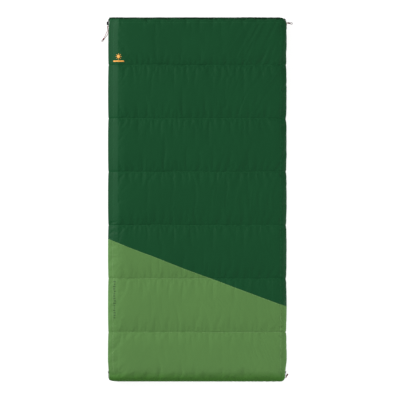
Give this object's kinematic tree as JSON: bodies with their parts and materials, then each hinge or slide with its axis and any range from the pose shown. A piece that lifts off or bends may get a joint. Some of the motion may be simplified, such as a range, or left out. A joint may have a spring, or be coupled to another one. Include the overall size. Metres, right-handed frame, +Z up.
{
  "type": "camp quilt",
  "caption": "Two-layer quilted camp quilt folded at the foot, zipped up both long sides with two-way sliders on cord pulls, dark and light green with a diagonal seam.",
  "frame": {"origin": "centre of the shut quilt's underside, on the floor", "axes": "+Y towards the head end, +Z up through the two layers, +X to the right of someone who looks down on it with the head end away from them"},
  "size_m": [1.0036, 1.905, 0.074],
  "materials": {
    "dark_shell_cloth": "satin",
    "light_shell_cloth": "satin",
    "facing_cloth": "satin",
    "lining_cloth": "matte",
    "fibre_fill": "matte",
    "zip_tape": "matte",
    "zip_teeth": "satin",
    "slider_metal": "satin",
    "tab_plastic": "matte",
    "pull_cord": "matte",
    "cord_sleeve": "satin"
  },
  "bodies": {
    "back": {"back_shell": "light_shell_cloth", "back_fill": "fibre_fill", "back_lining": "lining_cloth", "back_left_facing": "facing_cloth", "back_left_zip_tape": "zip_tape", "back_left_zip_teeth": "zip_teeth", "back_left_zip_foot_stop": "zip_teeth", "back_left_zip_head_stop": "zip_teeth", "back_right_facing": "facing_cloth", "back_right_zip_tape": "zip_tape", "back_right_zip_teeth": "zip_teeth", "back_right_zip_foot_stop": "zip_teeth", "back_right_zip_head_stop": "zip_teeth", "foot_shell": "light_shell_cloth", "foot_fill": "fibre_fill", "foot_lining": "lining_cloth"},
    "front": {"front_upper_shell": "dark_shell_cloth", "front_lower_shell": "light_shell_cloth", "front_fill": "fibre_fill", "front_lining": "lining_cloth", "front_left_facing": "facing_cloth", "front_left_zip_tape": "zip_tape", "front_left_zip_teeth": "zip_teeth", "front_left_zip_foot_stop": "zip_teeth", "front_left_zip_head_stop": "zip_teeth", "front_right_facing": "facing_cloth", "front_right_zip_tape": "zip_tape", "front_right_zip_teeth": "zip_teeth", "front_right_zip_foot_stop": "zip_teeth", "front_right_zip_head_stop": "zip_teeth"},
    "left_upper_slider_body": {"left_upper_slider": "slider_metal"},
    "left_upper_tab_body": {"left_upper_tab": "tab_plastic", "left_upper_cord_a": "pull_cord", "left_upper_cord_b": "pull_cord", "left_upper_cord_sleeve": "cord_sleeve", "left_upper_cord_loop": "pull_cord"},
    "left_lower_slider_body": {"left_lower_slider": "slider_metal"},
    "left_lower_tab_body": {"left_lower_tab": "tab_plastic"},
    "right_upper_slider_body": {"right_upper_slider": "slider_metal"},
    "right_upper_tab_body": {"right_upper_tab": "tab_plastic", "right_upper_cord_a": "pull_cord", "right_upper_cord_b": "pull_cord", "right_upper_cord_sleeve": "cord_sleeve", "right_upper_cord_loop": "pull_cord"},
    "right_lower_slider_body": {"right_lower_slider": "slider_metal"},
    "right_lower_tab_body": {"right_lower_tab": "tab_plastic", "right_lower_cord_a": "pull_cord", "right_lower_cord_b": "pull_cord", "right_lower_cord_sleeve": "cord_sleeve"}
  },
  "joints": [
    {"name": "front_turn_down", "type": "hinge", "parent": "back", "child": "front", "pos_m": [0, -0.91535, 0.037], "axis": [1, 0, 0], "range_deg": [0, 180], "deforming": ["foot_shell", "foot_fill", "foot_lining"]},
    {"name": "left_upper_zip_run", "type": "slide", "parent": "back", "child": "left_upper_slider_body", "axis": [0, -1, 0], "range_m": [0, 1.2]},
    {"name": "left_upper_tab_swing", "type": "hinge", "parent": "left_upper_slider_body", "child": "left_upper_tab_body", "pos_m": [-0.4641, 0.9372, 0.037], "axis": [0, 0, -1], "range_deg": [0, 150]},
    {"name": "left_lower_zip_run", "type": "slide", "parent": "back", "child": "left_lower_slider_body", "axis": [0, 1, 0], "range_m": [0, 0.45]},
    {"name": "left_lower_tab_swing", "type": "hinge", "parent": "left_lower_slider_body", "child": "left_lower_tab_body", "pos_m": [-0.4641, -0.90135, 0.037], "axis": [0, 0, -1], "range_deg": [0, 160]},
    {"name": "right_upper_zip_run", "type": "slide", "parent": "back", "child": "right_upper_slider_body", "axis": [0, -1, 0], "range_m": [0, 1.2]},
    {"name": "right_upper_tab_swing", "type": "hinge", "parent": "right_upper_slider_body", "child": "right_upper_tab_body", "pos_m": [0.4641, 0.9372, 0.037], "axis": [0, 0, 1], "range_deg": [0, 100]},
    {"name": "right_lower_zip_run", "type": "slide", "parent": "back", "child": "right_lower_slider_body", "axis": [0, 1, 0], "range_m": [0, 0.45]},
    {"name": "right_lower_tab_swing", "type": "hinge", "parent": "right_lower_slider_body", "child": "right_lower_tab_body", "pos_m": [0.4641, -0.90135, 0.037], "axis": [0, 0, 1], "range_deg": [0, 140]}
  ]
}
